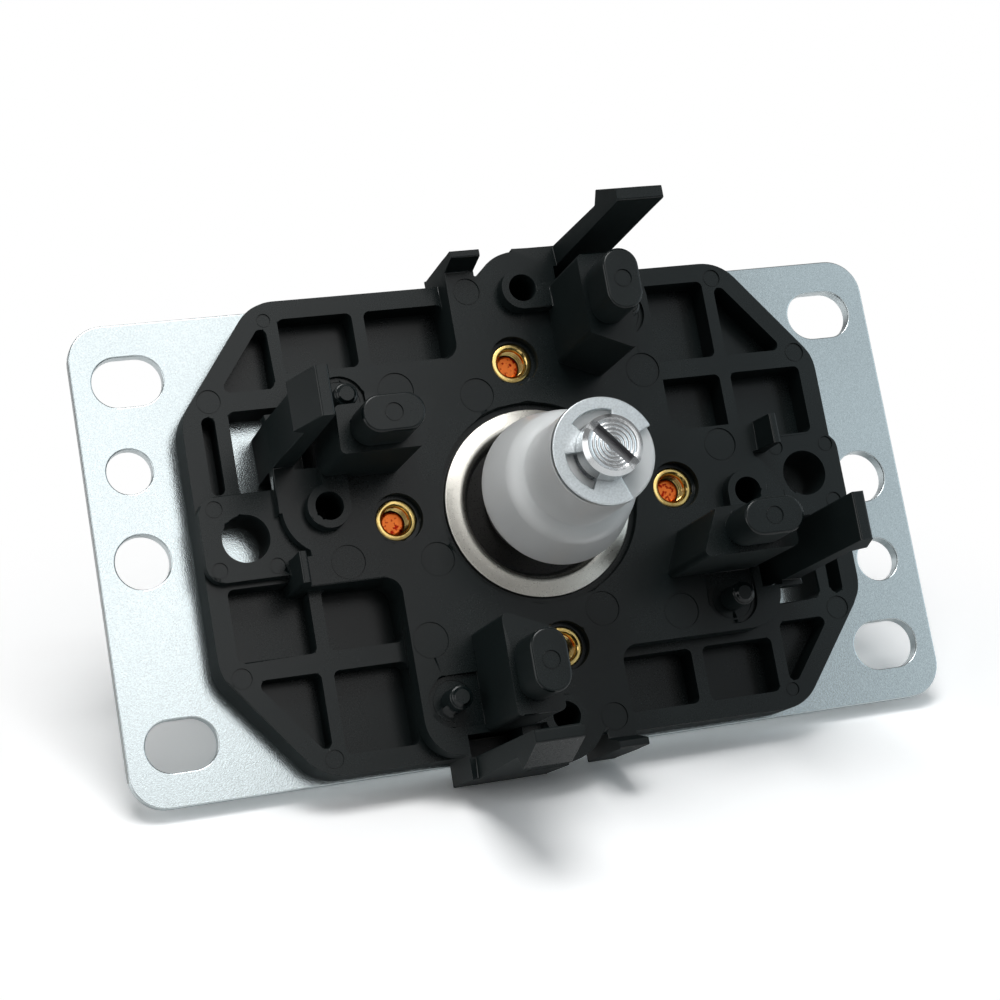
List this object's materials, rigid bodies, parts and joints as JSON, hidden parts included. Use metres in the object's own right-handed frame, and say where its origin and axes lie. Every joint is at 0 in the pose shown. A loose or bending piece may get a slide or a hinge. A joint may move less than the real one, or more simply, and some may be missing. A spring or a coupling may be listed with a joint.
{
  "type": "arcade joystick lever",
  "caption": "Arcade joystick lever assembly: steel mounting plate, moulded housing with snap clips, self-centring shaft with bell actuator; knob, switches and gate not fitted",
  "frame": {"origin": "middle of the mounting plate's panel face, the centre of its four slotted holes, on the shaft's axis at rest", "axes": "+Z is the shaft's direction out through the panel, +X is the plate's length, +Y its width"},
  "size_m": [0.095, 0.0594, 0.0738],
  "materials": {
    "zinc_plate": "bright zinc plate with fine spangle",
    "black_moulding": "satin moulded black plastic",
    "screw_steel": "zinc-plated countersunk screw",
    "insert_brass": "turned brass",
    "white_nylon": "natural white nylon",
    "black_acetal": "smooth black plastic",
    "plated_shaft": "turned and plated steel",
    "holder_steel": "pressed steel, brushed bright",
    "spring_steel": "drawn spring wire",
    "clear_nylon": "milky translucent plastic",
    "zinc_clip": "stamped zinc-plated steel"
  },
  "bodies": {
    "frame": {"mounting_plate": "zinc_plate", "housing": "black_moulding", "plate_screw_1": "screw_steel", "plate_screw_2": "screw_steel", "plate_screw_3": "screw_steel", "plate_screw_4": "screw_steel", "brass_insert_1": "insert_brass", "brass_insert_2": "insert_brass", "brass_insert_3": "insert_brass", "brass_insert_4": "insert_brass", "pivot_socket": "white_nylon", "spring_holder": "holder_steel"},
    "spring": {"return_spring": "spring_steel"},
    "lever": {"shaft": "plated_shaft", "pivot_ball": "black_acetal", "actuator": "clear_nylon", "retaining_clip": "zinc_clip"}
  },
  "joints": [
    {"name": "tilt_left_right", "type": "hinge", "parent": "frame", "child": "spring", "pos_m": [0, 0, -0.0022], "axis": [0, 1, 0], "range_deg": [-9, 9], "stiffness_Nm_per_rad": 0.35, "deforming": ["return_spring"]},
    {"name": "tilt_up_down", "type": "hinge", "parent": "spring", "child": "lever", "pos_m": [0, 0, -0.0022], "axis": [1, 0, 0], "range_deg": [-9, 9], "stiffness_Nm_per_rad": 0.35, "deforming": ["return_spring"]}
  ]
}
